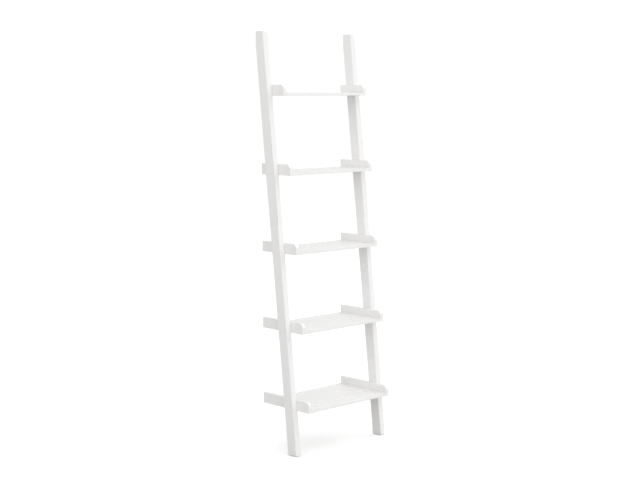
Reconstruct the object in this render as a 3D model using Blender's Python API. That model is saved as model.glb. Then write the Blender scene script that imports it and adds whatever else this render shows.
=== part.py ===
"""Leaning ladder shelf.

Two raked side posts, each joined from two lengths, carry five open trays that grow
deeper towards the floor. Each tray is a board whose ends are housed in two side cheeks,
and two connecting screws at each end pass through the post and the cheek into the board.
Shelf 1 is the lowest. Left is -X and +Y points to the wall. The origin is where the wall
meets the floor, midway between the posts.
"""

import math

import bmesh
import bpy
from mathutils import Matrix, Vector

# Overall sizes, in metres and radians.
TOTAL_HEIGHT = 1.850
TOTAL_WIDTH = 0.560
LEAN = math.radians(6.25)

# Posts.
POST_THICKNESS = 0.028
POST_DEPTH = 0.053
WALL_FACE_HEIGHT = 0.056

# Trays.
SHELF_COUNT = 5
LOWEST_SHELF_HEIGHT = 0.199
TOP_SHELF_DROP = 0.279
FRONT_OVERHANG = 0.072
BOARD_THICKNESS = 0.014
CHEEK_THICKNESS = 0.018
CHEEK_HEIGHT = 0.048
CHEEK_CORNER_RADIUS = 0.020
CHEEK_CORNER_SEGMENTS = 6
HOUSING_DEPTH = 0.006
HOUSING_STOP = 0.012
TONGUE_COVER = 0.001
WALL_CLEARANCE = 0.001

# Gap left between pieces that touch, and how far a cutter runs past the wall it cuts.
GAP = 0.0003
OVERCUT = 0.002

# Connecting screws, which hold posts, cheeks and boards together.
SCREW_EDGE = 0.0125
SCREW_RECESS = 0.003
SCREW_BITE = 0.032
SCREW_HEAD_RADIUS = 0.005
SCREW_RIM = 0.0008
SCREW_SHANK_RADIUS = 0.0031
SCREW_TIP_LENGTH = 0.006
SCREW_TIP_RADIUS = 0.0015
SOCKET_RADIUS = 0.002
SOCKET_DEPTH = 0.0025

# Splice that joins the two lengths of each post.
SPLICE_ABOVE_MIDDLE_SHELF = 0.132
DOWEL_RADIUS = 0.004
DOWEL_LENGTH = 0.040
DOWEL_CHAMFER = 0.001
DOWEL_EDGE = 0.0115
CAM_RADIUS = 0.0075
CAM_REACH = 0.034
CAM_FLOOR = 0.0045
CAM_SINK = 0.0002
CAM_SLOT_LENGTH = 0.009
CAM_SLOT_WIDTH = 0.0014
CAM_SLOT_DEPTH = 0.0025
BOLT_THREAD_RADIUS = 0.003
BOLT_THREAD_LENGTH = 0.012
BOLT_ROD_RADIUS = 0.0025
BOLT_NECK_RADIUS = 0.0018
BOLT_NECK_LENGTH = 0.003
BOLT_HEAD_RADIUS = 0.0032
BOLT_HEAD_LENGTH = 0.004

# Anti-slip pads under the feet.
PAD_THICKNESS = 0.002
PAD_INSET = 0.003

# Keyhole hangers let into the plumb faces at the top.
PLATE_WIDTH = 0.016
PLATE_HEIGHT = 0.042
PLATE_THICKNESS = 0.002
PLATE_SINK = 0.0002
PLATE_SCREW_EDGE = 0.0055
KEYHOLE_RADIUS = 0.0045
KEYHOLE_DROP = 0.004
SLOT_RADIUS = 0.0023
SLOT_RISE = 0.009
POCKET_DEPTH = 0.010
POCKET_MARGIN = 0.001
WOOD_SCREW_LENGTH = 0.016
WOOD_SCREW_HEAD_RADIUS = 0.0032
WOOD_SCREW_SHANK_RADIUS = 0.0016
WOOD_SCREW_TIP_LENGTH = 0.004
WOOD_SCREW_TIP_RADIUS = 0.0006

# Facets round each turned piece.
SCREW_FACETS = 12
DOWEL_FACETS = 16
CAM_FACETS = 24

# Sizes that follow from the ones above.
RAKE = math.tan(LEAN)
POST_RUN = POST_DEPTH / math.cos(LEAN)
WALL_FACE_BOTTOM = TOTAL_HEIGHT - WALL_FACE_HEIGHT
SHELF_PITCH = (TOTAL_HEIGHT - TOP_SHELF_DROP - LOWEST_SHELF_HEIGHT) / (SHELF_COUNT - 1)
POST_INNER_X = TOTAL_WIDTH / 2 - POST_THICKNESS
POST_CENTRE_X = TOTAL_WIDTH / 2 - POST_THICKNESS / 2
CHEEK_OUTER_X = POST_INNER_X - GAP
CHEEK_INNER_X = CHEEK_OUTER_X - CHEEK_THICKNESS
TONGUE_TIP_X = CHEEK_INNER_X + HOUSING_DEPTH - GAP
TONGUE_THICKNESS = BOARD_THICKNESS / 2 + SCREW_SHANK_RADIUS + GAP + TONGUE_COVER
SCREW_LENGTH = TOTAL_WIDTH / 2 - SCREW_RECESS - TONGUE_TIP_X + SCREW_BITE
MIDDLE_SHELF = SHELF_COUNT // 2
SPLICE_HEIGHT = LOWEST_SHELF_HEIGHT + MIDDLE_SHELF * SHELF_PITCH + SPLICE_ABOVE_MIDDLE_SHELF
SPLICE_REACH = SPLICE_HEIGHT / math.cos(LEAN)
DOWEL_OFFSET = POST_DEPTH / 2 - DOWEL_EDGE
CAM_DEPTH = POST_THICKNESS / 2 + CAM_FLOOR
PLATE_CENTRE_Z = TOTAL_HEIGHT - WALL_FACE_HEIGHT / 2

SIDES = {"left": -1, "right": 1}


def clear_scene():
    """Empty the scene."""
    for old in list(bpy.data.objects):
        bpy.data.objects.remove(old)


def shelf_height(index):
    """Height of a tray's underside, counted from 0 at the lowest."""
    return LOWEST_SHELF_HEIGHT + index * SHELF_PITCH


def post_back_y(height):
    """Rear face of the raked post at a height, which meets the wall at the plumb face."""
    return (height - WALL_FACE_BOTTOM) * RAKE


def post_front_y(height):
    """Front face of the raked post at a height."""
    return post_back_y(height) - POST_RUN


def tray_front_y(index):
    """Front of a tray, a fixed overhang ahead of the posts."""
    return post_front_y(shelf_height(index)) - FRONT_OVERHANG


def post_frame(side):
    """Frame on a post's centre line at floor level, with Z up along the raked post."""
    foot = Vector((side * POST_CENTRE_X, post_back_y(0) - POST_RUN / 2, 0))
    return Matrix.Translation(foot) @ Matrix.Rotation(-LEAN, 4, "X")


def material(name, colour, roughness, metallic=0.0):
    """Principled material."""
    mat = bpy.data.materials.new(name)
    mat.use_nodes = True
    shader = mat.node_tree.nodes["Principled BSDF"]
    shader.inputs["Base Color"].default_value = (*colour, 1.0)
    shader.inputs["Roughness"].default_value = roughness
    shader.inputs["Metallic"].default_value = metallic
    return mat


def make_materials():
    """One material for each finish."""
    return {
        "post": material("post_lacquer", (0.86, 0.86, 0.86), 0.35),
        "board": material("board_lacquer", (0.88, 0.88, 0.88), 0.28),
        "cheek": material("cheek_lacquer", (0.87, 0.87, 0.87), 0.32),
        "zinc": material("zinc_plated_steel", (0.62, 0.62, 0.60), 0.35, 1.0),
        "cast": material("die_cast_zinc", (0.50, 0.50, 0.51), 0.50, 1.0),
        "beech": material("beech", (0.68, 0.50, 0.33), 0.70),
        "rubber": material("clear_grey_rubber", (0.70, 0.70, 0.68), 0.80),
    }


def make_mesh(name, bm, mat):
    """Turn a bmesh into a mesh with its faces pointing out."""
    mesh = bpy.data.meshes.new(name)
    bmesh.ops.recalc_face_normals(bm, faces=bm.faces)
    bm.to_mesh(mesh)
    bm.free()
    if mat:
        mesh.materials.append(mat)
    return mesh


def place_mesh(name, mesh, place=None):
    """Stand a mesh in the scene, in a frame of its own."""
    obj = bpy.data.objects.new(name, mesh)
    bpy.context.scene.collection.objects.link(obj)
    obj.matrix_world = place or Matrix.Identity(4)
    return obj


def add_object(name, bm, mat, place=None):
    """One named piece."""
    return place_mesh(name, make_mesh(name, bm, mat), place)


def place_cutter(name, mesh, place=None):
    """A shape that only cuts others."""
    obj = place_mesh(name, mesh, place)
    obj.hide_render = True
    obj.display_type = "WIRE"
    return obj


def add_cutter(name, bm, place=None):
    """A cutter with a shape of its own."""
    return place_cutter(name, make_mesh(name, bm, None), place)


def cut(obj, *cutters):
    """Subtract each cutter from an object."""
    for cutter in cutters:
        mod = obj.modifiers.new("cut_" + cutter.name, "BOOLEAN")
        mod.operation = "DIFFERENCE"
        mod.object = cutter


def box(low, high):
    """Bmesh box between two corners."""
    bm = bmesh.new()
    bmesh.ops.create_cube(bm, size=1)
    low, high = Vector(low), Vector(high)
    bmesh.ops.scale(bm, vec=high - low, verts=bm.verts)
    bmesh.ops.translate(bm, vec=(low + high) / 2, verts=bm.verts)
    return bm


def turned(profile, facets):
    """Bmesh turned round Z from (distance along Z, radius) points that start and end on the axis."""
    bm = bmesh.new()
    verts = [bm.verts.new((radius, 0, along)) for along, radius in profile]
    edges = [bm.edges.new(pair) for pair in zip(verts, verts[1:])]
    bmesh.ops.spin(bm, geom=verts + edges, cent=(0, 0, 0), axis=(0, 0, 1), angle=math.tau,
                   steps=facets, use_merge=True)
    bmesh.ops.remove_doubles(bm, verts=bm.verts, dist=1e-6)
    return bm


def shade_round(mesh):
    """Smooth shading that keeps the rims crisp."""
    mesh.shade_smooth()
    mesh.set_sharp_from_angle(angle=math.radians(35))
    return mesh


def add_round(name, bm, mat, place):
    """One named turned piece."""
    return place_mesh(name, shade_round(make_mesh(name, bm, mat)), place)


def saw(bm, point, normal):
    """Cut off what lies beyond a plane and close the cut."""
    geometry = bm.verts[:] + bm.edges[:] + bm.faces[:]
    bmesh.ops.bisect_plane(bm, geom=geometry, dist=1e-7, plane_co=point, plane_no=normal, clear_outer=True)
    open_edges = [edge for edge in bm.edges if edge.is_boundary]
    bmesh.ops.holes_fill(bm, edges=open_edges)


# ---- Posts ----

def post_blank(start, end):
    """Straight length of post stock in the post's own frame."""
    half = Vector((POST_THICKNESS / 2, POST_DEPTH / 2, 0))
    return box((-half.x, -half.y, start), (half.x, half.y, end))


def saw_in_world(bm, frame, point, normal):
    """Saw a piece that is drawn in a frame by a plane given in the world."""
    to_frame = frame.inverted()
    saw(bm, to_frame @ Vector(point), to_frame.to_3x3() @ Vector(normal))


def lower_post(side_name, side, mat):
    """Foot cut level with the floor, top cut square for the splice."""
    frame = post_frame(side)
    bm = post_blank(-POST_DEPTH, SPLICE_REACH - GAP / 2)
    saw_in_world(bm, frame, (0, 0, PAD_THICKNESS + GAP), (0, 0, -1))
    return add_object(side_name + "_post_lower", bm, mat, frame)


def upper_post(side_name, side, mat):
    """Square at the splice, level at the top and plumb against the wall."""
    frame = post_frame(side)
    bm = post_blank(SPLICE_REACH + GAP / 2, TOTAL_HEIGHT / math.cos(LEAN) + POST_DEPTH)
    saw_in_world(bm, frame, (0, 0, TOTAL_HEIGHT), (0, 0, 1))
    saw_in_world(bm, frame, (0, 0, 0), (0, 1, 0))
    return add_object(side_name + "_post_upper", bm, mat, frame)


# ---- Trays ----

def extrude_along_y(bm, faces, distance):
    """Pull some faces along Y."""
    pulled = bmesh.ops.extrude_face_region(bm, geom=faces)["geom"]
    pulled_verts = [item for item in pulled if isinstance(item, bmesh.types.BMVert)]
    bmesh.ops.translate(bm, vec=(0, distance, 0), verts=pulled_verts)


def board(index, mat):
    """Shelf board with a tongue at each end, lower than its top and stopped short of its front."""
    front = tray_front_y(index)
    stop = front + HOUSING_STOP + GAP
    root_x = CHEEK_INNER_X - GAP
    bm = bmesh.new()
    left_tip, left_root, right_root, right_tip = [
        [bm.verts.new((x, stop, z)) for z in (0, TONGUE_THICKNESS)]
        for x in (-TONGUE_TIP_X, -root_x, root_x, TONGUE_TIP_X)
    ]
    top = [bm.verts.new((x, stop, BOARD_THICKNESS)) for x in (root_x, -root_x)]
    tongues = [
        bm.faces.new((left_tip[0], *left_root, left_tip[1])),
        bm.faces.new((right_root[0], *right_tip, right_root[1])),
    ]
    body = bm.faces.new((left_root[0], *right_root, *top, left_root[1]))
    extrude_along_y(bm, [*tongues, body], -WALL_CLEARANCE - stop)
    extrude_along_y(bm, [body], front - stop)
    bm.faces.remove(body)  # now inside the board, between the two pulls
    place = Matrix.Translation((0, 0, shelf_height(index)))
    return add_object(f"shelf_{index + 1}_board", bm, mat, place)


def cheek(index, side_name, side, mat):
    """Side cheek with a rounded top front corner and a stopped housing for the board."""
    front = tray_front_y(index)
    place = Matrix.Translation((0, 0, shelf_height(index)))
    low_x, high_x = sorted((side * CHEEK_INNER_X, side * CHEEK_OUTER_X))
    bm = box((low_x, front, 0), (high_x, -WALL_CLEARANCE, CHEEK_HEIGHT))
    corner = [edge for edge in bm.edges
              if all(abs(vert.co.y - front) < GAP and vert.co.z > CHEEK_HEIGHT - GAP for vert in edge.verts)]
    bmesh.ops.bevel(bm, geom=corner, affect="EDGES", offset=CHEEK_CORNER_RADIUS, profile=0.5,
                    segments=CHEEK_CORNER_SEGMENTS, material=-1)
    obj = add_object(f"shelf_{index + 1}_{side_name}_cheek", bm, mat, place)

    open_x = side * (CHEEK_INNER_X - OVERCUT)
    deep_x = side * (CHEEK_INNER_X + HOUSING_DEPTH)
    low_x, high_x = sorted((open_x, deep_x))
    housing = box((low_x, front + HOUSING_STOP, -OVERCUT),
                  (high_x, OVERCUT, TONGUE_THICKNESS + GAP))
    cut(obj, add_cutter(f"housing_{index + 1}_{side_name}", housing, place))
    return obj


# ---- Connecting screws ----

def screw_shape():
    """Countersunk connecting screw with a driver socket, head at 0 and point along +Z."""
    cone_end = SCREW_RIM + SCREW_HEAD_RADIUS - SCREW_SHANK_RADIUS
    return turned([
        (SOCKET_DEPTH, 0), (SOCKET_DEPTH, SOCKET_RADIUS), (0, SOCKET_RADIUS), (0, SCREW_HEAD_RADIUS),
        (SCREW_RIM, SCREW_HEAD_RADIUS), (cone_end, SCREW_SHANK_RADIUS),
        (SCREW_LENGTH - SCREW_TIP_LENGTH, SCREW_SHANK_RADIUS), (SCREW_LENGTH, SCREW_TIP_RADIUS),
        (SCREW_LENGTH, 0),
    ], SCREW_FACETS)


def screw_bore_shape():
    """Stepped bore for one connecting screw."""
    head_radius = SCREW_HEAD_RADIUS + GAP
    shank_radius = SCREW_SHANK_RADIUS + GAP
    mouth = -SCREW_RECESS - OVERCUT
    seat = SCREW_RIM + GAP
    return turned([
        (mouth, 0), (mouth, head_radius), (seat, head_radius),
        (seat + head_radius - shank_radius, shank_radius),
        (SCREW_LENGTH + GAP, shank_radius), (SCREW_LENGTH + GAP, 0),
    ], SCREW_FACETS)


def screw_places(index, side):
    """The two screws that hold one end of a tray, by position in the post."""
    height = shelf_height(index) + BOARD_THICKNESS / 2
    head_x = side * (TOTAL_WIDTH / 2 - SCREW_RECESS)
    turn = Matrix.Rotation(-side * math.pi / 2, 4, "Y")
    return {
        "front": Matrix.Translation((head_x, post_front_y(height) + SCREW_EDGE, height)) @ turn,
        "rear": Matrix.Translation((head_x, post_back_y(height) - SCREW_EDGE, height)) @ turn,
    }


def drive_screws(index, side_name, places, mesh):
    """The two screws of one tray end."""
    for position, place in places.items():
        place_mesh(f"shelf_{index + 1}_{side_name}_screw_{position}", mesh, place)


def bore(piece, bore_mesh, places):
    """Bore a piece at every place in one cut."""
    bm = bmesh.new()
    for place in places:
        known = len(bm.verts)
        bm.from_mesh(bore_mesh)
        bmesh.ops.transform(bm, matrix=place, verts=list(bm.verts)[known:])
    cut(piece, add_cutter("screw_bores_" + piece.name, bm))


# ---- Splice ----

def cylinder(radius, start, end, facets):
    """Plain turned cylinder along Z."""
    return turned([(start, 0), (start, radius), (end, radius), (end, 0)], facets)


def dowel_shape():
    """Chamfered beech dowel centred on the splice."""
    half = DOWEL_LENGTH / 2
    tip = DOWEL_RADIUS - DOWEL_CHAMFER
    return turned([
        (-half, 0), (-half, tip), (-half + DOWEL_CHAMFER, DOWEL_RADIUS),
        (half - DOWEL_CHAMFER, DOWEL_RADIUS), (half, tip), (half, 0),
    ], DOWEL_FACETS)


def bolt_shape():
    """Cam bolt: thread below the splice, rod and headed neck above it."""
    head_start = CAM_REACH - BOLT_HEAD_LENGTH / 2
    return turned([
        (-BOLT_THREAD_LENGTH, 0), (-BOLT_THREAD_LENGTH, BOLT_NECK_RADIUS),
        (BOLT_NECK_RADIUS - BOLT_THREAD_LENGTH, BOLT_THREAD_RADIUS), (0, BOLT_THREAD_RADIUS),
        (0, BOLT_ROD_RADIUS), (head_start - BOLT_NECK_LENGTH, BOLT_ROD_RADIUS),
        (head_start - BOLT_NECK_LENGTH, BOLT_NECK_RADIUS), (head_start, BOLT_NECK_RADIUS),
        (head_start, BOLT_HEAD_RADIUS), (head_start + BOLT_HEAD_LENGTH, BOLT_HEAD_RADIUS),
        (head_start + BOLT_HEAD_LENGTH, 0),
    ], DOWEL_FACETS)


def splice_cutters(side_name, frame, side):
    """Dowel bores, bolt bores and the cam pocket."""
    half = DOWEL_LENGTH / 2 + GAP
    bores = []
    for position, sign in (("front", -1), ("rear", 1)):
        place = frame @ Matrix.Translation((0, sign * DOWEL_OFFSET, 0))
        bm = cylinder(DOWEL_RADIUS + GAP, -half, half, DOWEL_FACETS)
        bores.append(add_cutter(f"dowel_bore_{side_name}_{position}", bm, place))
    thread_bore = cylinder(BOLT_THREAD_RADIUS + GAP, -BOLT_THREAD_LENGTH - GAP, OVERCUT, DOWEL_FACETS)
    head_bore = cylinder(BOLT_HEAD_RADIUS + GAP, -OVERCUT, CAM_REACH, DOWEL_FACETS)
    pocket = cylinder(CAM_RADIUS + GAP, -OVERCUT, CAM_DEPTH + GAP, CAM_FACETS)
    return {
        "dowels": bores,
        "thread": add_cutter("bolt_bore_lower_" + side_name, thread_bore, frame),
        "head": add_cutter("bolt_bore_upper_" + side_name, head_bore, frame),
        "pocket": add_cutter("cam_pocket_" + side_name, pocket, cam_place(frame, side, 0)),
    }


def cam_place(frame, side, sink):
    """Frame on the cam's axis at the post's inner face, with Z into the wood."""
    inner = Vector((-side * (POST_THICKNESS / 2 - sink), 0, CAM_REACH))
    return frame @ Matrix.Translation(inner) @ Matrix.Rotation(side * math.pi / 2, 4, "Y")


def cam(side_name, side, frame, mat):
    """Cam disc with a cross slot in its face and a mouth in its rim for the bolt's head."""
    place = cam_place(frame, side, CAM_SINK)
    disc = cylinder(CAM_RADIUS, 0, CAM_DEPTH - CAM_SINK, CAM_FACETS)
    obj = add_round(side_name + "_splice_cam", disc, mat, place)
    long, wide = CAM_SLOT_LENGTH / 2, CAM_SLOT_WIDTH / 2
    for label, half_x, half_y in (("a", long, wide), ("b", wide, long)):
        slot = box((-half_x, -half_y, -OVERCUT), (half_x, half_y, CAM_SLOT_DEPTH))
        cut(obj, add_cutter(f"cam_slot_{label}_{side_name}", slot, place))
    mouth_end = CAM_REACH + BOLT_HEAD_LENGTH / 2 + GAP
    mouth = cylinder(BOLT_HEAD_RADIUS + GAP, CAM_REACH - CAM_RADIUS - OVERCUT, mouth_end, DOWEL_FACETS)
    cut(obj, add_cutter("cam_mouth_" + side_name, mouth, frame))


def splice(side_name, side, lower, upper, mats):
    """Join the two lengths of a post with two dowels, a cam and its bolt."""
    frame = post_frame(side) @ Matrix.Translation((0, 0, SPLICE_REACH))
    cutters = splice_cutters(side_name, frame, side)
    cut(lower, *cutters["dowels"], cutters["thread"])
    cut(upper, *cutters["dowels"], cutters["head"], cutters["pocket"])
    for position, sign in (("front", -1), ("rear", 1)):
        place = frame @ Matrix.Translation((0, sign * DOWEL_OFFSET, 0))
        add_round(f"{side_name}_splice_dowel_{position}", dowel_shape(), mats["beech"], place)
    add_round(side_name + "_splice_bolt", bolt_shape(), mats["zinc"], frame)
    cam(side_name, side, frame, mats["cast"])


# ---- Feet ----

def foot_pad(side_name, side, mat):
    """Thin pad, set in from the edges of the level foot cut."""
    half_x = POST_THICKNESS / 2 - PAD_INSET
    low = (side * POST_CENTRE_X - half_x, post_front_y(0) + PAD_INSET, 0)
    high = (side * POST_CENTRE_X + half_x, post_back_y(0) - PAD_INSET, PAD_THICKNESS)
    add_object(side_name + "_foot_pad", box(low, high), mat)


# ---- Keyhole hangers ----

def wood_screw_profile(clearance):
    """Countersunk wood screw, or its bore when a clearance is given."""
    head = WOOD_SCREW_HEAD_RADIUS + clearance
    shank = WOOD_SCREW_SHANK_RADIUS + clearance
    top = -OVERCUT if clearance else 0
    return [
        (top, 0), (top, head), (clearance, head), (clearance + head - shank, shank),
        (WOOD_SCREW_LENGTH - WOOD_SCREW_TIP_LENGTH, shank),
        (WOOD_SCREW_LENGTH + clearance, WOOD_SCREW_TIP_RADIUS + clearance), (WOOD_SCREW_LENGTH + clearance, 0),
    ]


def hanger(side_name, side, post, mats):
    """Keyhole plate let in flush, the pocket behind it and its two screws."""
    centre = Matrix.Translation((side * POST_CENTRE_X, -PLATE_SINK, PLATE_CENTRE_Z))
    half_x, half_z = PLATE_WIDTH / 2, PLATE_HEIGHT / 2
    plate_bm = box((-half_x, -PLATE_THICKNESS, -half_z), (half_x, 0, half_z))
    plate = add_object(side_name + "_wall_hanger_plate", plate_bm, mats["zinc"], centre)

    recess = box((-half_x - GAP, -PLATE_THICKNESS - GAP, -half_z - GAP),
                 (half_x + GAP, OVERCUT, half_z + GAP))
    pocket_half = KEYHOLE_RADIUS + POCKET_MARGIN
    pocket = box((-pocket_half, -PLATE_THICKNESS - POCKET_DEPTH, -KEYHOLE_DROP - pocket_half),
                 (pocket_half, 0, SLOT_RISE - KEYHOLE_DROP + pocket_half))
    cut(post, add_cutter("hanger_recess_" + side_name, recess, centre))
    cut(post, add_cutter("hanger_pocket_" + side_name, pocket, centre))

    into_wall = Matrix.Rotation(math.pi / 2, 4, "X")
    through = PLATE_THICKNESS + OVERCUT
    hole = cylinder(KEYHOLE_RADIUS, -OVERCUT, through, DOWEL_FACETS)
    slot_end = cylinder(SLOT_RADIUS, -OVERCUT, through, DOWEL_FACETS)
    slot = box((-SLOT_RADIUS, -through, -KEYHOLE_DROP), (SLOT_RADIUS, OVERCUT, SLOT_RISE - KEYHOLE_DROP))
    hole_place = centre @ Matrix.Translation((0, 0, -KEYHOLE_DROP)) @ into_wall
    slot_place = centre @ Matrix.Translation((0, 0, SLOT_RISE - KEYHOLE_DROP)) @ into_wall
    cut(plate,
        add_cutter("keyhole_" + side_name, hole, hole_place),
        add_cutter("keyhole_slot_" + side_name, slot, centre),
        add_cutter("keyhole_slot_end_" + side_name, slot_end, slot_place))

    for position, sign in (("upper", 1), ("lower", -1)):
        place = centre @ Matrix.Translation((0, 0, sign * (half_z - PLATE_SCREW_EDGE))) @ into_wall
        shape = turned(wood_screw_profile(0), SCREW_FACETS)
        add_round(f"{side_name}_hanger_screw_{position}", shape, mats["zinc"], place)
        bore = add_cutter(f"hanger_screw_bore_{side_name}_{position}",
                          turned(wood_screw_profile(GAP), SCREW_FACETS), place)
        cut(plate, bore)
        cut(post, bore)


def build_shelf():
    """Make every piece and join them."""
    clear_scene()
    mats = make_materials()
    boards = [board(index, mats["board"]) for index in range(SHELF_COUNT)]
    screw_mesh = shade_round(make_mesh("connecting_screw", screw_shape(), mats["zinc"]))
    bore_mesh = make_mesh("connecting_screw_bore", screw_bore_shape(), None)
    bored = {}
    for side_name, side in SIDES.items():
        lower = lower_post(side_name, side, mats["post"])
        upper = upper_post(side_name, side, mats["post"])
        splice(side_name, side, lower, upper, mats)
        foot_pad(side_name, side, mats["rubber"])
        hanger(side_name, side, upper, mats)
        for index in range(SHELF_COUNT):
            side_cheek = cheek(index, side_name, side, mats["cheek"])
            post = lower if shelf_height(index) < SPLICE_HEIGHT else upper
            places = screw_places(index, side)
            drive_screws(index, side_name, places, screw_mesh)
            for piece in (post, side_cheek, boards[index]):
                bored.setdefault(piece, []).extend(places.values())
    for piece, places in bored.items():
        bore(piece, bore_mesh, places)


build_shelf()
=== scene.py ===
# %% [markdown]
# # A leaning ladder shelf in white lacquer
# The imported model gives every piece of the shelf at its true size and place. This file
# leaves those pieces where they are and gives them what a joiner and a sprayer would:
# eased edges, cover caps, and finishes that change a little from spot to spot.
# Left is -X, the wall is the plane Y = 0 and the floor is Z = 0, all in metres.

import math

import bmesh
import bpy
from mathutils import Matrix, Vector


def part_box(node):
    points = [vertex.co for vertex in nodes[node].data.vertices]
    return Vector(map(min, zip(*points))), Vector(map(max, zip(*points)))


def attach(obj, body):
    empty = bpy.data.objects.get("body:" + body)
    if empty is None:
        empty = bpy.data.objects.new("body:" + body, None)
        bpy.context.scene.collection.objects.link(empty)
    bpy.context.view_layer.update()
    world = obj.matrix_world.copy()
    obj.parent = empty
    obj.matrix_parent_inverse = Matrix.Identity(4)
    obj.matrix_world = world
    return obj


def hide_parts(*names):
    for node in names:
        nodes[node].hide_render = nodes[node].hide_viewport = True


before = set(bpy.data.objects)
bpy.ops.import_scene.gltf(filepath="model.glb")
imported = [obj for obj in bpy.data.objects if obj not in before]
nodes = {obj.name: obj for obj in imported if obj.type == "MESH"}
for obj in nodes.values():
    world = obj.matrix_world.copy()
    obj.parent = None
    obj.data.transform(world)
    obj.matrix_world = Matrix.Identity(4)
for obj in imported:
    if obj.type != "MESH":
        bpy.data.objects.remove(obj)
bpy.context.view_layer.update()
print("pieces in the frame:", len(nodes))

# %% [markdown]
# ## Where each piece lies
# The posts lean back towards the wall, so a post has a frame of its own: X across its
# thickness, Y through its depth and Z along its length. The lean is read from the model, off
# the broadest front-facing triangle of a post, so nothing has to be measured twice.

# %% Names and frames
SIDES = {"left": -1, "right": 1}
SHELVES = range(1, 6)
POST_LENGTHS = ("lower", "upper")
POSITIONS = ("front", "rear")

MM = 0.001


def measured_lean(node_name):
    """Angle by which a post's front face leans back."""
    fronts = [face for face in nodes[node_name].data.polygons if face.normal.y < -0.9]
    broadest = max(fronts, key=lambda face: face.area)
    return math.atan2(broadest.normal.z, -broadest.normal.y)


LEAN = measured_lean("left_post_lower")
print("lean:", round(math.degrees(LEAN), 3), "degrees")


def post_frame(side_name):
    """Frame on a post's own axis, with its origin on the wall side of the floor."""
    low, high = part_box(side_name + "_post_lower")
    return Matrix.Translation(((low.x + high.x) / 2, 0, 0)) @ Matrix.Rotation(-LEAN, 4, "X")


for side_name in SIDES:
    low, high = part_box(side_name + "_post_lower")
    print(side_name, "post is", round((high.x - low.x) / MM, 1), "mm thick")

# %% [markdown]
# ## Merging a copy of a piece
# The frame's meshes are loose triangles. A copy whose doubles are merged and whose flat
# triangles are joined again has real edges, which a bevel can run along. Starting from the
# copy keeps every bore, housing and pocket exactly where its screw, tongue or cam needs it.
# The copy drops the frame's stored normals, which would be wrong on every face that a bevel
# makes or trims.

# %% Copy and tidy
MERGE = 0.002 * MM
FLAT = math.radians(0.5)


def merged_copy(node_name):
    """Bmesh of a frame piece with its doubles merged and its flat faces joined."""
    mesh = nodes[node_name].data.copy()
    if "custom_normal" in mesh.attributes:
        mesh.attributes.remove(mesh.attributes["custom_normal"])
    bm = bmesh.new()
    bm.from_mesh(mesh)
    bpy.data.meshes.remove(mesh)
    bmesh.ops.remove_doubles(bm, verts=bm.verts, dist=MERGE)
    bmesh.ops.dissolve_limit(bm, angle_limit=FLAT, use_dissolve_boundaries=False,
                             verts=bm.verts, edges=bm.edges, delimit={"NORMAL"})
    return bm


loose = len(nodes["shelf_1_board"].data.polygons)
sample = merged_copy("shelf_1_board")
print("a board's faces, loose and merged:", loose, len(sample.faces))
sample.free()

# %% [markdown]
# ## Easing the arrises
# Lacquer will not hold on a sharp edge, so a joiner takes the arrises off with a small
# round-over before spraying. Only the outer edges get it: edges whose two faces both have
# the whole piece behind them. Bores, housings and pockets stay crisp. A "worn" value is
# stored on the middle of each round-over, where a finish wears first, for the materials.

# %% Find and round the outer edges
OUTER = 0.02 * MM
SHARP = math.radians(30)
EASE_SEGMENTS = 4


def outer_faces(bm):
    """Faces that have every point of the piece behind them."""
    points = [vert.co for vert in bm.verts]
    return {face for face in bm.faces
            if max(face.normal.dot(point - face.verts[0].co) for point in points) < OUTER}


def outer_edges(bm):
    """Sharp edges between two outer faces."""
    outer = outer_faces(bm)
    return [edge for edge in bm.edges
            if len(edge.link_faces) == 2 and all(face in outer for face in edge.link_faces)
            and edge.calc_face_angle(0) > SHARP]


def ease(bm, edges, width):
    """Round some edges over and mark the crown of the round."""
    worn = bm.verts.layers.float.get("worn") or bm.verts.layers.float.new("worn")
    result = bmesh.ops.bevel(bm, geom=edges, affect="EDGES", offset=width, segments=EASE_SEGMENTS,
                             profile=0.5, material=-1, clamp_overlap=True)
    strip = set(result["faces"])
    for face in strip:
        face.smooth = True
    for vert in result["verts"]:
        if all(face in strip for face in vert.link_faces):
            vert[worn] = 1.0


sample = merged_copy("shelf_1_board")
print("a board's edges to round:", len(outer_edges(sample)))
sample.free()

# %% [markdown]
# ## Shared parts of the finishes
# Three effects are used by more than one finish, so each is a node group: the run of a
# lacquered surface, the wear along an arris, and plating on steel. A group gives out
# colours, masks and heights only; the shader stays in each material.

# %% A helper for node groups
def new_group(name, inputs, outputs):
    """Empty shader group with named sockets: inputs hold (name, type, value)."""
    group = bpy.data.node_groups.new(name, "ShaderNodeTree")
    for socket_name, kind, value in inputs:
        socket = group.interface.new_socket(socket_name, in_out="INPUT",
                                            socket_type="NodeSocket" + kind)
        if value is not None:
            socket.default_value = value
    for socket_name, kind in outputs:
        group.interface.new_socket(socket_name, in_out="OUTPUT", socket_type="NodeSocket" + kind)
    return group


def add_node(tree, kind, values=None, **settings):
    """Node with some settings and some socket values."""
    node = tree.nodes.new("ShaderNode" + kind)
    for key, value in settings.items():
        setattr(node, key, value)
    for key, value in (values or {}).items():
        node.inputs[key].default_value = value
    return node


def math_node(tree, operation, first, second, clamp=False):
    """Maths on two values, each a socket or a number, as a socket."""
    node = add_node(tree, "Math", operation=operation, use_clamp=clamp)
    for slot, value in enumerate((first, second)):
        if isinstance(value, (int, float)):
            node.inputs[slot].default_value = value
        else:
            tree.links.new(value, node.inputs[slot])
    return node.outputs[0]


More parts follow.
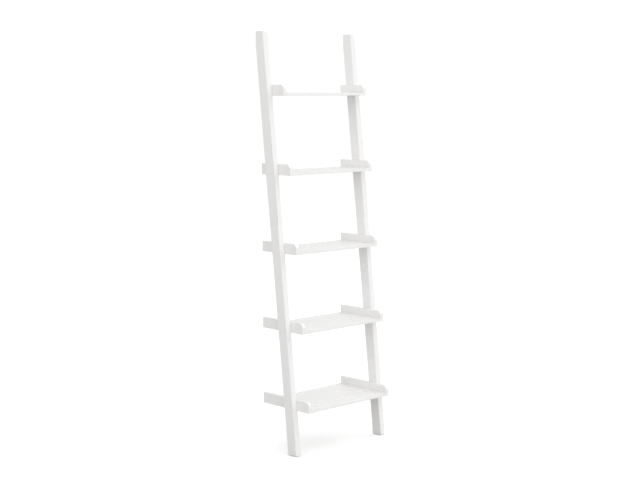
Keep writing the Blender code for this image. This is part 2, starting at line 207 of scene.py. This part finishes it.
def stretched_noise(tree, coordinates, scale, detail, roughness):
    """Noise whose scale differs along the three axes, as a socket."""
    mapping = add_node(tree, "Mapping", {"Scale": scale})
    tree.links.new(coordinates, mapping.inputs["Vector"])
    noise = add_node(tree, "TexNoise", {"Scale": 1.0, "Detail": detail, "Roughness": roughness})
    tree.links.new(mapping.outputs["Vector"], noise.inputs["Vector"])
    return noise.outputs["Fac"]


def spread(tree, value, low, high):
    """Value from 0 to 1 turned into one from low to high, as a socket."""
    node = add_node(tree, "MapRange", {"To Min": low, "To Max": high})
    tree.links.new(value, node.inputs["Value"])
    return node.outputs["Result"]


def blend(tree, first, second, share):
    """Two values mixed, the first by its share and the second by the rest, as a socket."""
    return math_node(tree, "ADD", math_node(tree, "MULTIPLY", first, share),
                     math_node(tree, "MULTIPLY", second, 1 - share))


def swing_about_half(tree, value, width):
    """Value from 0 to 1 turned into a swing of the given width about 0, as a socket."""
    return math_node(tree, "MULTIPLY", math_node(tree, "SUBTRACT", value, 0.5), width)


# The colour sockets of a Mix node, which shares its names with other data types.
MIX_FIRST, MIX_SECOND, MIX_RESULT = 6, 7, 2


def mix_colours(tree, factor, first, second):
    """Mix of two colours, each a socket or a plain colour, as a socket."""
    node = add_node(tree, "Mix", data_type="RGBA")
    tree.links.new(factor, node.inputs["Factor"])
    for slot, colour in ((MIX_FIRST, first), (MIX_SECOND, second)):
        if isinstance(colour, bpy.types.NodeSocket):
            tree.links.new(colour, node.inputs[slot])
        else:
            node.inputs[slot].default_value = colour
    return node.outputs[MIX_RESULT]


# %% [markdown]
# ### The lacquer's run
# Sprayed lacquer over planed wood shows two things: faint streaks along the grain, which
# the filler never quite hides, and a fine orange peel from the spray. Both are noise read
# from the piece's own coordinates, the first stretched along the grain, which the group
# takes as a vector of scales per metre. A third, broad noise lets the tone and the gloss
# drift over a hand's width.

# %% Group: lacquer run
STREAK_SHARE = 0.6
GLOSS_DRIFT = 0.12
DRIFT_SCALE = (5, 5, 5)
PEEL_SCALE = (420, 420, 420)


def make_lacquer_group():
    """Tone, roughness and height of a sprayed surface, from grain streaks and orange peel."""
    group = new_group(
        "lacquer_run",
        [("Coordinates", "Vector", None), ("Grain Scale", "Vector", (60, 60, 3)),
         ("Tone", "Color", (0.8, 0.8, 0.8, 1)), ("Tone Depth", "Float", 0.02),
         ("Roughness", "Float", 0.3), ("Streak Height", "Float", 0.012),
         ("Peel Height", "Float", 0.004)],
        [("Color", "Color"), ("Roughness", "Float"), ("Height", "Float")])
    inside = group.nodes.new("NodeGroupInput")
    result = group.nodes.new("NodeGroupOutput")
    scaled = add_node(group, "VectorMath", operation="MULTIPLY")
    group.links.new(inside.outputs["Coordinates"], scaled.inputs[0])
    group.links.new(inside.outputs["Grain Scale"], scaled.inputs[1])
    streaks = stretched_noise(group, scaled.outputs["Vector"], (1, 1, 1),
                              detail=4.0, roughness=0.55)
    drift = stretched_noise(group, inside.outputs["Coordinates"], DRIFT_SCALE,
                            detail=2.0, roughness=0.5)
    peel = stretched_noise(group, inside.outputs["Coordinates"], PEEL_SCALE,
                           detail=1.0, roughness=0.4)

    tone_swing = swing_about_half(group, blend(group, streaks, drift, STREAK_SHARE),
                                  inside.outputs["Tone Depth"])
    factor = math_node(group, "ADD", tone_swing, 1.0)
    tone = add_node(group, "VectorMath", operation="SCALE")
    group.links.new(inside.outputs["Tone"], tone.inputs[0])
    group.links.new(factor, tone.inputs["Scale"])
    group.links.new(tone.outputs["Vector"], result.inputs["Color"])

    gloss_swing = swing_about_half(group, drift, GLOSS_DRIFT)
    group.links.new(math_node(group, "ADD", inside.outputs["Roughness"], gloss_swing, clamp=True),
                    result.inputs["Roughness"])
    streak_height = math_node(group, "MULTIPLY", streaks, inside.outputs["Streak Height"])
    peel_height = math_node(group, "MULTIPLY", peel, inside.outputs["Peel Height"])
    group.links.new(math_node(group, "ADD", streak_height, peel_height), result.inputs["Height"])
    return group


lacquer_run = make_lacquer_group()
print("group:", lacquer_run.name)

# %% [markdown]
# ### Wear along an arris
# Hands and dust cloths polish the crown of a round-over, so it turns a little darker and
# smoother than the faces beside it, in patches. The mask is the "worn" value broken up by
# noise.

# %% Group: arris wear
WEAR_SCALE = (35, 35, 35)


def make_wear_group():
    """Mask of the rubbed crown of each round-over."""
    group = new_group(
        "arris_wear",
        [("Coordinates", "Vector", None), ("Worn", "Float", 0.0), ("Amount", "Float", 0.5)],
        [("Mask", "Float")])
    inside = group.nodes.new("NodeGroupInput")
    result = group.nodes.new("NodeGroupOutput")
    patches = stretched_noise(group, inside.outputs["Coordinates"], WEAR_SCALE,
                              detail=3.0, roughness=0.6)
    broken = math_node(group, "MULTIPLY", inside.outputs["Worn"], spread(group, patches, 0.0, 1.0))
    group.links.new(math_node(group, "MULTIPLY", broken, inside.outputs["Amount"], clamp=True),
                    result.inputs["Mask"])
    return group


arris_wear = make_wear_group()
print("group:", arris_wear.name)

# %% [markdown]
# ### Plating
# Zinc plating keeps the drawing lines of the steel under it and clouds over in soft
# patches. The same group serves the rolled plate, the turned screws and the cast cams,
# with different line scales.

# %% Group: zinc plating
LINE_SHARE = 0.4
CLOUD_SCALE = (260, 260, 260)
DULLING = 0.3


def make_plating_group():
    """Tone, roughness and height of plated metal."""
    group = new_group(
        "zinc_plating",
        [("Coordinates", "Vector", None), ("Line Scale", "Vector", (800, 800, 40)),
         ("Bright", "Color", (0.7, 0.7, 0.69, 1)), ("Dull", "Color", (0.5, 0.5, 0.49, 1)),
         ("Roughness", "Float", 0.3)],
        [("Color", "Color"), ("Roughness", "Float"), ("Height", "Float")])
    inside = group.nodes.new("NodeGroupInput")
    result = group.nodes.new("NodeGroupOutput")
    scaled = add_node(group, "VectorMath", operation="MULTIPLY")
    group.links.new(inside.outputs["Coordinates"], scaled.inputs[0])
    group.links.new(inside.outputs["Line Scale"], scaled.inputs[1])
    lines = stretched_noise(group, scaled.outputs["Vector"], (1, 1, 1), detail=3.0, roughness=0.6)
    clouds = stretched_noise(group, inside.outputs["Coordinates"], CLOUD_SCALE,
                             detail=3.0, roughness=0.55)
    mottle = blend(group, lines, clouds, LINE_SHARE)
    colour = mix_colours(group, mottle, inside.outputs["Dull"], inside.outputs["Bright"])
    group.links.new(colour, result.inputs["Color"])
    rough_swing = swing_about_half(group, mottle, DULLING)
    group.links.new(math_node(group, "ADD", inside.outputs["Roughness"], rough_swing, clamp=True),
                    result.inputs["Roughness"])
    group.links.new(mottle, result.inputs["Height"])
    return group


zinc_plating = make_plating_group()
print("group:", zinc_plating.name)

# %% [markdown]
# ## The finishes
# Each material is a Principled shader fed by the groups above. White lacquer is a dielectric
# under a clear gloss, so its colour is near white, its roughness is low and a thin coat adds
# the sharper reflection that shows at a glancing angle.

# %% Material helpers
def new_material(name):
    """Material with its tree, its Principled shader and Object coordinates."""
    mat = bpy.data.materials.new(name)
    mat.use_nodes = True
    tree = mat.node_tree
    shader = tree.nodes["Principled BSDF"]
    place = tree.nodes.new("ShaderNodeTexCoord").outputs["Object"]
    return mat, tree, shader, place


def use_group(tree, group, values):
    """Group placed in a tree; values are sockets or plain values by input name."""
    node = tree.nodes.new("ShaderNodeGroup")
    node.node_tree = group
    for key, value in values.items():
        if isinstance(value, bpy.types.NodeSocket):
            tree.links.new(value, node.inputs[key])
        else:
            node.inputs[key].default_value = value
    return node


def two_tone(tree, value, dark, light):
    """Colour that runs from dark to light as a value goes from 0 to 1, as a socket."""
    ramp = add_node(tree, "ValToRGB")
    for stop, colour in zip(ramp.color_ramp.elements, (dark, light)):
        stop.color = (*colour, 1)
    tree.links.new(value, ramp.inputs["Fac"])
    return ramp.outputs["Color"]


def bump(tree, shader, height, distance):
    """Height turned into the shader's normal."""
    node = add_node(tree, "Bump", {"Distance": distance, "Strength": 1.0})
    tree.links.new(height, node.inputs["Height"])
    tree.links.new(node.outputs["Normal"], shader.inputs["Normal"])


# %% [markdown]
# ### White lacquer
# Posts, boards and cheeks are the same spray finish on three runs of grain: along the
# raked post, along the board and along the cheek. A Mapping node turns the post's pattern by
# its lean. Boards are rubbed a little smoother than posts, because they are what is looked
# down on. The wear on the arrises takes the colour a little down and the gloss a little up.

# %% White lacquer
WHITE = (0.9, 0.895, 0.883, 1)
RUBBED = (0.85, 0.843, 0.825, 1)
TONE_DEPTH = 0.035
WEAR_AMOUNT = 0.6
WEAR_GLOSS = 0.12
COAT_ROUGHNESS = 0.12


def make_lacquer(name, grain_scale, turn, roughness, coat, streak_height):
    """White lacquer with its grain running along one axis."""
    mat, tree, shader, place = new_material(name)
    turned = add_node(tree, "Mapping", {"Rotation": turn})
    tree.links.new(place, turned.inputs["Vector"])
    run = use_group(tree, lacquer_run, {
        "Coordinates": turned.outputs["Vector"], "Grain Scale": grain_scale, "Tone": WHITE,
        "Tone Depth": TONE_DEPTH, "Roughness": roughness, "Streak Height": streak_height})
    worn = add_node(tree, "Attribute", attribute_name="worn")
    wear = use_group(tree, arris_wear, {
        "Coordinates": place, "Worn": worn.outputs["Fac"], "Amount": WEAR_AMOUNT})
    tree.links.new(mix_colours(tree, wear.outputs["Mask"], run.outputs["Color"], RUBBED),
                   shader.inputs["Base Color"])
    smoother = math_node(tree, "MULTIPLY", wear.outputs["Mask"], WEAR_GLOSS)
    tree.links.new(math_node(tree, "SUBTRACT", run.outputs["Roughness"], smoother, clamp=True),
                   shader.inputs["Roughness"])
    shader.inputs["Coat Weight"].default_value = coat
    shader.inputs["Coat Roughness"].default_value = COAT_ROUGHNESS
    shader.inputs["IOR"].default_value = 1.5
    bump(tree, shader, run.outputs["Height"], MM)
    return mat


post_lacquer = make_lacquer("post_lacquer", grain_scale=(70, 70, 2.5), turn=(LEAN, 0, 0),
                            roughness=0.36, coat=0.15, streak_height=0.014)
board_lacquer = make_lacquer("board_lacquer", grain_scale=(2.5, 60, 60), turn=(0, 0, 0),
                             roughness=0.27, coat=0.3, streak_height=0.006)
cheek_lacquer = make_lacquer("cheek_lacquer", grain_scale=(60, 3, 60), turn=(0, 0, 0),
                             roughness=0.30, coat=0.25, streak_height=0.008)
print("lacquers:", post_lacquer.name, board_lacquer.name, cheek_lacquer.name)

# %% [markdown]
# ### Metals, beech, rubber and the caps' plastic
# The hardware is plain: zinc on steel, die-cast zinc, bare beech and soft clear rubber. The
# caps are injection moulded in the lacquer's white, a little warmer and with a finer skin.

# %% Hardware finishes
def make_zinc(name, line_scale, bright, dull, roughness, depth):
    """Plated or cast zinc."""
    mat, tree, shader, place = new_material(name)
    plating = use_group(tree, zinc_plating, {
        "Coordinates": place, "Line Scale": line_scale, "Bright": (*bright, 1),
        "Dull": (*dull, 1), "Roughness": roughness})
    tree.links.new(plating.outputs["Color"], shader.inputs["Base Color"])
    tree.links.new(plating.outputs["Roughness"], shader.inputs["Roughness"])
    shader.inputs["Metallic"].default_value = 1.0
    bump(tree, shader, plating.outputs["Height"], depth)
    return mat


screw_zinc = make_zinc(
    "connecting_screw_zinc", line_scale=(40, 1500, 1500), bright=(0.72, 0.72, 0.70),
    dull=(0.50, 0.50, 0.49), roughness=0.28, depth=0.02 * MM)
plate_zinc = make_zinc(
    "hanger_plate_zinc", line_scale=(1400, 40, 1400), bright=(0.70, 0.70, 0.69),
    dull=(0.52, 0.52, 0.51), roughness=0.34, depth=0.01 * MM)
cast_zinc = make_zinc(
    "cam_cast_zinc", line_scale=(500, 500, 500), bright=(0.58, 0.58, 0.59),
    dull=(0.40, 0.40, 0.41), roughness=0.50, depth=0.05 * MM)
print("zinc:", screw_zinc.name, plate_zinc.name, cast_zinc.name)

# %% Beech, rubber and plastic
FIBRE_SHARE = 0.65


def make_beech():
    """Bare beech with the fibre along the dowel and short dark flecks."""
    mat, tree, shader, place = new_material("dowel_beech")
    turned = add_node(tree, "Mapping", {"Rotation": (LEAN, 0, 0)})
    tree.links.new(place, turned.inputs["Vector"])
    fibre = stretched_noise(tree, turned.outputs["Vector"], (1800, 1800, 60),
                            detail=4.0, roughness=0.6)
    fleck = stretched_noise(tree, turned.outputs["Vector"], (900, 900, 260),
                            detail=2.0, roughness=0.5)
    grain = blend(tree, fibre, fleck, FIBRE_SHARE)
    tree.links.new(two_tone(tree, grain, (0.52, 0.33, 0.19), (0.74, 0.55, 0.37)),
                   shader.inputs["Base Color"])
    tree.links.new(spread(tree, fleck, 0.55, 0.8), shader.inputs["Roughness"])
    bump(tree, shader, fibre, 0.08 * MM)
    return mat


def make_rubber():
    """Soft clear grey rubber that picks up floor dust."""
    mat, tree, shader, place = new_material("foot_pad_rubber")
    haze = stretched_noise(tree, place, (180, 180, 180), detail=4.0, roughness=0.6)
    tree.links.new(two_tone(tree, haze, (0.42, 0.42, 0.41), (0.66, 0.66, 0.64)),
                   shader.inputs["Base Color"])
    tree.links.new(spread(tree, haze, 0.5, 0.75), shader.inputs["Roughness"])
    shader.inputs["Subsurface Weight"].default_value = 0.2
    shader.inputs["Subsurface Scale"].default_value = 2 * MM
    bump(tree, shader, haze, 0.1 * MM)
    return mat


def make_cap_plastic():
    """Moulded white plastic with a fine spark-eroded skin."""
    mat, tree, shader, place = new_material("cap_plastic")
    skin = stretched_noise(tree, place, (900, 900, 900), detail=3.0, roughness=0.6)
    cloud = stretched_noise(tree, place, (90, 90, 90), detail=2.0, roughness=0.5)
    tree.links.new(two_tone(tree, cloud, (0.85, 0.847, 0.84), (0.90, 0.897, 0.89)),
                   shader.inputs["Base Color"])
    tree.links.new(spread(tree, skin, 0.32, 0.46), shader.inputs["Roughness"])
    bump(tree, shader, skin, 0.02 * MM)
    return mat


dowel_beech = make_beech()
pad_rubber = make_rubber()
cap_plastic = make_cap_plastic()
print("finishes:", dowel_beech.name, pad_rubber.name, cap_plastic.name)

# %% [markdown]
# ## Putting a piece in the scene
# Every new piece is an object at the origin with its place in its mesh. It rides on the
# frame's one body, hides the frame piece that it stands for and names the finish it takes.

# %% Place a piece
def place_piece(name, bm, mat, stands_for=()):
    """Mesh made into a named piece that rides on the frame."""
    mesh = bpy.data.meshes.new(name)
    bm.to_mesh(mesh)
    bm.free()
    mesh.materials.append(mat)
    piece = bpy.data.objects.new(name, mesh)
    bpy.context.scene.collection.objects.link(piece)
    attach(piece, "root")
    if stands_for:
        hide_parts(*stands_for)
    return piece


# %% [markdown]
# ## The posts
# Each post is two lengths of planed stock, butted square just under half way up. The long
# arrises are rounded over before the lengths are sprayed. The four edges at the butt joint
# stay crisp, so that the joint closes to one fine line all round.

# %% Posts
POST_EASE = 1.6 * MM


def joint_height(node_name, to_post):
    """Height of the butt joint along the post, read from the end of a length."""
    along = [(to_post @ vert.co).z for vert in nodes[node_name].data.vertices]
    return max(along) if node_name.endswith("lower") else min(along)


def make_post_length(side_name, part):
    """One length of a post with its arrises eased."""
    node_name = side_name + "_post_" + part
    to_post = post_frame(side_name).inverted()
    joint = joint_height(node_name, to_post)
    bm = merged_copy(node_name)

    def at_joint(edge):
        return all(abs((to_post @ vert.co).z - joint) < OUTER for vert in edge.verts)

    ease(bm, [edge for edge in outer_edges(bm) if not at_joint(edge)], POST_EASE)
    return place_piece(node_name + "_lacquered", bm, post_lacquer, (node_name,))


for side_name in SIDES:
    for part in POST_LENGTHS:
        post = make_post_length(side_name, part)
        print(post.name, "faces:", len(post.data.polygons))

# %% [markdown]
# ## The trays
# A tray is a board between two low cheeks. The cheeks' top front corners are quarter rounds
# and the boards' tongues are let into them, so only the boards' front and back arrises are
# free to be eased. A cheek is eased all round.

# %% Boards and cheeks
BOARD_EASE = 1.2 * MM
CHEEK_EASE = 1.4 * MM
ARC_CUTS = 3
# A facet of the round leans away from both flat faces by more than this.
FACET_LEAN = 0.05


def smooth_corner(bm):
    """Cut the facets of a cheek's quarter round finer and lay the new points on its arc."""
    facets = [face for face in outer_faces(bm)
              if face.normal.y < -FACET_LEAN and face.normal.z > FACET_LEAN]
    points = [vert.co.yz for face in facets for vert in face.verts]
    front, top = min(point.x for point in points), max(point.y for point in points)
    radius = top - min(point.y for point in points)
    centre = Vector((front + radius, top - radius))
    steps = len(facets) * (ARC_CUTS + 1)
    for step in range(1, steps):
        if step % (ARC_CUTS + 1) == 0:
            continue
        turn = math.pi / 2 * step / steps
        across = Vector((0, math.sin(turn), math.cos(turn)))
        geom = facets + list({item for face in facets for item in (*face.edges, *face.verts)})
        cut = bmesh.ops.bisect_plane(bm, geom=geom, dist=OUTER, plane_co=(0, *centre),
                                     plane_no=across)
        for vert in (item for item in cut["geom_cut"] if isinstance(item, bmesh.types.BMVert)):
            vert.co.yz = centre + (vert.co.yz - centre).normalized() * radius
        facets = [item for item in cut["geom"] if isinstance(item, bmesh.types.BMFace)]
    bm.normal_update()
    for face in facets:
        face.smooth = True
    return radius


def make_board(number):
    """One shelf board."""
    node_name = f"shelf_{number}_board"
    bm = merged_copy(node_name)
    ease(bm, outer_edges(bm), BOARD_EASE)
    return place_piece(node_name + "_lacquered", bm, board_lacquer, (node_name,))


def make_cheek(number, side_name):
    """One side cheek."""
    node_name = f"shelf_{number}_{side_name}_cheek"
    bm = merged_copy(node_name)
    radius = smooth_corner(bm)
    ease(bm, outer_edges(bm), CHEEK_EASE)
    print(node_name, "corner radius:", round(radius / MM, 2), "mm")
    return place_piece(node_name + "_lacquered", bm, cheek_lacquer, (node_name,))


for number in SHELVES:
    board = make_board(number)
    cheeks = [make_cheek(number, side_name) for side_name in SIDES]
    print(board.name, len(board.data.polygons), [len(cheek.data.polygons) for cheek in cheeks])

# %% [markdown]
# ## Cover caps
# The screws that hold the trays sit in bores just under the posts' outer faces, and each
# bore is closed by a moulded cap: a thin dome with a stem that plugs into the screw's socket.
# A cap is one short profile spun round its axis.

# %% Caps
CAP_RADIUS = 6.0 * MM
CAP_RIM = 0.2 * MM
CAP_CROWN = 0.9 * MM
STEM_RADIUS = 1.8 * MM
STEM_LENGTH = 4.5 * MM
STEM_TIP = 0.8
STEM_SHOULDER = 0.85
CAP_STEPS = 32
CAP_RINGS = 6


def cap_mesh(cap_radius, stem_radius, stem_length):
    """Cap with its underside at 0, its crown towards +Z and its stem towards -Z."""
    profile = [(0, -stem_length), (stem_radius * STEM_TIP, -stem_length),
               (stem_radius, -stem_length * STEM_SHOULDER), (stem_radius, 0),
               (cap_radius, 0), (cap_radius, CAP_RIM)]
    for ring in range(1, CAP_RINGS + 1):
        turn = math.pi / 2 * ring / CAP_RINGS
        profile.append((cap_radius * math.cos(turn) if ring < CAP_RINGS else 0,
                        CAP_RIM + (CAP_CROWN - CAP_RIM) * math.sin(turn)))
    bm = bmesh.new()
    verts = [bm.verts.new((radius, 0, height)) for radius, height in profile]
    edges = [bm.edges.new(pair) for pair in zip(verts, verts[1:])]
    bmesh.ops.spin(bm, geom=verts + edges, cent=(0, 0, 0), axis=(0, 0, 1), angle=math.tau,
                   steps=CAP_STEPS, use_merge=True)
    bmesh.ops.remove_doubles(bm, verts=bm.verts, dist=MERGE)
    bmesh.ops.recalc_face_normals(bm, faces=bm.faces)
    for face in bm.faces:
        face.smooth = True
    return bm


def lay_on_post(bm, side_name, facing, node_name, turn):
    """Turn a cap and lay it over a frame piece, on the post's face that looks towards facing."""
    low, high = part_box(node_name)
    centre = (low + high) / 2
    post_low, post_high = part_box(side_name + "_post_lower")
    face_x = post_high.x if facing > 0 else post_low.x
    bmesh.ops.transform(bm, matrix=Matrix.Translation((face_x, centre.y, centre.z)) @ turn,
                        verts=bm.verts)


def place_cap(number, side_name, position):
    """Cap over one screw, lying on the post's outer face."""
    side = SIDES[side_name]
    bm = cap_mesh(CAP_RADIUS, STEM_RADIUS, STEM_LENGTH)
    lay_on_post(bm, side_name, side, f"shelf_{number}_{side_name}_screw_{position}",
                Matrix.Rotation(side * math.pi / 2, 4, "Y"))
    name = f"shelf_{number}_{side_name}_cap_{position}"
    return place_piece(name, bm, cap_plastic)


caps = [place_cap(number, side_name, position)
        for number in SHELVES for side_name in SIDES for position in POSITIONS]
print("caps:", len(caps))

# %% [markdown]
# The cams that pull the posts' halves together are covered the same way on the inner faces.
# Their caps are wider, and grip with two crossed blades in the cam's driver slots instead of
# a stem.

# %% Cam caps
CAM_CAP_RADIUS = 9.0 * MM
BLADE_LENGTH = 8.0 * MM
BLADE_WIDTH = 0.9 * MM
BLADE_DEPTH = 2.2 * MM
BLADE_EASE = 0.15 * MM


def add_blade(bm, along):
    """Flat blade under a cap, lying along one axis, with eased edges."""
    length, width = (BLADE_LENGTH, BLADE_WIDTH) if along == "X" else (BLADE_WIDTH, BLADE_LENGTH)
    verts = bmesh.ops.create_cube(bm, size=1.0)["verts"]
    size = Matrix.Diagonal((length, width, BLADE_DEPTH, 1))
    bmesh.ops.transform(bm, matrix=Matrix.Translation((0, 0, -BLADE_DEPTH / 2)) @ size, verts=verts)
    edges = list({edge for vert in verts for edge in vert.link_edges})
    bmesh.ops.bevel(bm, geom=edges, affect="EDGES", offset=BLADE_EASE, segments=2, profile=0.5,
                    material=-1)


def place_cam_cap(side_name):
    """Cap over a cam, lying on the post's inner face and square with the post."""
    side = SIDES[side_name]
    bm = cap_mesh(CAM_CAP_RADIUS, BLADE_WIDTH / 2, BLADE_DEPTH)
    for along in ("X", "Y"):
        add_blade(bm, along)
    lay_on_post(bm, side_name, -side, side_name + "_splice_cam",
                Matrix.Rotation(-side * math.pi / 2, 4, "Y") @ Matrix.Rotation(side * LEAN, 4, "Z"))
    return place_piece(side_name + "_splice_cap", bm, cap_plastic)


for side_name in SIDES:
    print(place_cam_cap(side_name).name)

# %% [markdown]
# ## Plate screws with a driver recess
# The four screws that hold the wall plates face the wall, and each head needs a crossed
# recess for the driver. A bmesh has no operator that cuts one solid out of another, so the
# blank and the cutter become two short-lived objects and a Boolean modifier does it.

# %% Cut one solid out of another
def short_lived(name, bm):
    """Object made of a bmesh, for a modifier to work on."""
    mesh = bpy.data.meshes.new(name)
    bm.to_mesh(mesh)
    bm.free()
    made = bpy.data.objects.new(name, mesh)
    bpy.context.scene.collection.objects.link(made)
    return made


def cut_away(name, bm, cutter):
    """Bmesh of one solid less another; the cutter's own pieces may overlap."""
    blank, tool = short_lived(name + "_blank", bm), short_lived(name + "_cutter", cutter)
    modifier = blank.modifiers.new("Recess", "BOOLEAN")
    modifier.operation = "DIFFERENCE"
    modifier.solver = "EXACT"
    modifier.use_self = True
    modifier.object = tool
    result = blank.evaluated_get(bpy.context.evaluated_depsgraph_get()).to_mesh()
    cut = bmesh.new()
    cut.from_mesh(result)
    for spent in (blank, tool):
        mesh = spent.data
        bpy.data.objects.remove(spent)
        bpy.data.meshes.remove(mesh)
    return cut


# %% [markdown]
# The cutter is a tapered cross whose arms are shares of the head's width, and it goes into a
# copy of the frame's screw, so that the screw keeps its size and place. Faces that meet at a
# small angle are then shaded as one round, and the rest stay crisp.

# %% Plate screws
RECESS_LENGTH = 0.8
RECESS_WIDTH = 0.19
RECESS_TAPER = 0.45
RECESS_DEPTH = 1.1 * MM


def recess_cutter(mouth, head_width):
    """Two crossed wedges that narrow towards the bottom of the recess, along -Y."""
    bm = bmesh.new()
    length, width = head_width * RECESS_LENGTH, head_width * RECESS_WIDTH
    for size_x, size_z in ((length, width), (width, length)):
        for vert in bmesh.ops.create_cube(bm, size=1.0)["verts"]:
            inner = vert.co.y < 0
            taper = RECESS_TAPER if inner else 1.0
            depth = -RECESS_DEPTH if inner else RECESS_DEPTH
            across, along = vert.co.x * size_x * taper, vert.co.z * size_z * taper
            vert.co = mouth + Vector((across, depth, along))
    return bm


def make_plate_screw(node_name):
    """Copy of a wall plate's screw with a crossed recess in its head."""
    low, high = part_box(node_name)
    centre = (low + high) / 2
    mouth = Vector((centre.x, high.y, centre.z))
    bm = cut_away(node_name, merged_copy(node_name), recess_cutter(mouth, high.x - low.x))
    assert all(edge.is_manifold for edge in bm.edges)
    for face in bm.faces:
        face.smooth = True
    for edge in bm.edges:
        edge.smooth = edge.calc_face_angle(0) < SHARP
    return place_piece(node_name + "_cross_head", bm, screw_zinc, (node_name,))


for side_name in SIDES:
    for position in ("upper", "lower"):
        screw = make_plate_screw(f"{side_name}_hanger_screw_{position}")
        print(screw.name, "faces:", len(screw.data.polygons))

# %% [markdown]
# ## Hardware that keeps its shape
# The connecting screws, bolts, dowels, cams, plates and pads have the right shape already, so
# they stay and take a finish in their material slots.

# %% Finish the hardware
HARDWARE = {
    "_screw_front": screw_zinc, "_screw_rear": screw_zinc, "_splice_bolt": screw_zinc,
    "_hanger_plate": plate_zinc, "_splice_cam": cast_zinc, "_dowel_front": dowel_beech,
    "_dowel_rear": dowel_beech, "_foot_pad": pad_rubber,
}

for node_name, node in nodes.items():
    for ending, finish in HARDWARE.items():
        if node_name.endswith(ending):
            node.data.materials.clear()
            node.data.materials.append(finish)
            print(node_name, "->", finish.name)

# %% [markdown]
# ## Floor, light and camera
# The shelf stands in a white studio: a pale floor, even light from all round and three broad
# soft lights. White on white shows only by its shades, so the lights differ: the one in front
# lifts the front faces, the one on the left keeps the posts' sides a step darker, and the one
# on the right sends light back off the inner faces, but is weak enough for the right side to
# read against the backdrop. The floor is pale where it is looked at and reflects less onto
# the shelf than it shows, as a floor does that is lit on its own.

# %% Floor
FLOOR_RADIUS = 14.0
FLOOR_BOUNCE = 0.53
FLOOR_GLOW = 0.14
FLOOR_ROUGHNESS = 0.9
FLOOR_SIDES = 96
PLAIN_WHITE = (1, 1, 1, 1)


def make_floor():
    """Round pale floor."""
    mat, tree, shader, _ = new_material("studio_floor")
    path = tree.nodes.new("ShaderNodeLightPath")
    seen = path.outputs["Is Camera Ray"]
    bounce = (FLOOR_BOUNCE, FLOOR_BOUNCE, FLOOR_BOUNCE, 1)
    tree.links.new(mix_colours(tree, seen, bounce, PLAIN_WHITE), shader.inputs["Base Color"])
    shader.inputs["Roughness"].default_value = FLOOR_ROUGHNESS
    shader.inputs["Specular IOR Level"].default_value = 0.0
    shader.inputs["Emission Color"].default_value = PLAIN_WHITE
    tree.links.new(math_node(tree, "MULTIPLY", seen, FLOOR_GLOW),
                   shader.inputs["Emission Strength"])
    bm = bmesh.new()
    bmesh.ops.create_circle(bm, cap_ends=True, segments=FLOOR_SIDES, radius=FLOOR_RADIUS)
    mesh = bpy.data.meshes.new("studio_floor")
    bm.to_mesh(mesh)
    bm.free()
    mesh.materials.append(mat)
    floor = bpy.data.objects.new("studio_floor", mesh)
    bpy.context.scene.collection.objects.link(floor)
    return floor


print("floor:", make_floor().name)

# %% Light
WORLD_STRENGTH = 0.815
BACKDROP_STRENGTH = 1.05
LIGHT_SPREAD = math.radians(60)
# Name: degrees round from the front towards the left, degrees up, strength.
SOFT_LIGHTS = {"left_front": (45, 30, 0.46), "front": (0, 30, 0.565), "right": (-90, 30, 0.8)}


def make_world():
    """Even white surround, a little brighter as a backdrop than as a light."""
    world = bpy.data.worlds.new("studio")
    bpy.context.scene.world = world
    world.use_nodes = True
    tree = world.node_tree
    background = tree.nodes["Background"]
    background.inputs["Color"].default_value = PLAIN_WHITE
    path = tree.nodes.new("ShaderNodeLightPath")
    tree.links.new(spread(tree, path.outputs["Is Camera Ray"], WORLD_STRENGTH, BACKDROP_STRENGTH),
                   background.inputs["Strength"])


def make_soft_light(name, round_degrees, up_degrees, strength):
    """Very broad light from far away."""
    light = bpy.data.lights.new(name, "SUN")
    light.energy = strength
    light.angle = LIGHT_SPREAD
    source = bpy.data.objects.new(name, light)
    source.rotation_euler = (math.radians(90 - up_degrees), 0, -math.radians(round_degrees))
    bpy.context.scene.collection.objects.link(source)


make_world()
for light_name, (round_degrees, up_degrees, strength) in SOFT_LIGHTS.items():
    make_soft_light(light_name, round_degrees, up_degrees, strength)
    print("light:", light_name, strength)
bpy.context.scene.view_settings.view_transform = "Standard"
bpy.context.scene.view_settings.look = "None"

# %% [markdown]
# The camera stands four metres to the left and a little over four in front of the wall, at
# shoulder height, and looks slightly down with a long lens, so that the posts stay nearly
# parallel.

# %% Camera
CAMERA_PLACE = Vector((-4.0024, -4.3464, 1.5724))
CAMERA_YAW = math.radians(43.1365)
CAMERA_DIP = math.radians(6.7864)
CAMERA_ROLL = math.radians(-0.2038)
SENSOR = 36.0
LENS = 74.27
FARTHEST = 60


def make_camera():
    """Long lens from the left front."""
    data = bpy.data.cameras.new("camera")
    data.sensor_width = SENSOR
    data.lens = LENS
    data.clip_end = FARTHEST
    camera = bpy.data.objects.new("camera", data)
    turn = (Matrix.Rotation(-CAMERA_YAW, 4, "Z") @ Matrix.Rotation(math.pi / 2 - CAMERA_DIP, 4, "X")
            @ Matrix.Rotation(CAMERA_ROLL, 4, "Z"))
    camera.matrix_world = Matrix.Translation(CAMERA_PLACE) @ turn
    bpy.context.scene.collection.objects.link(camera)
    bpy.context.scene.camera = camera


make_camera()
print("camera looks down", round(math.degrees(CAMERA_DIP), 1), "degrees through", LENS, "mm")
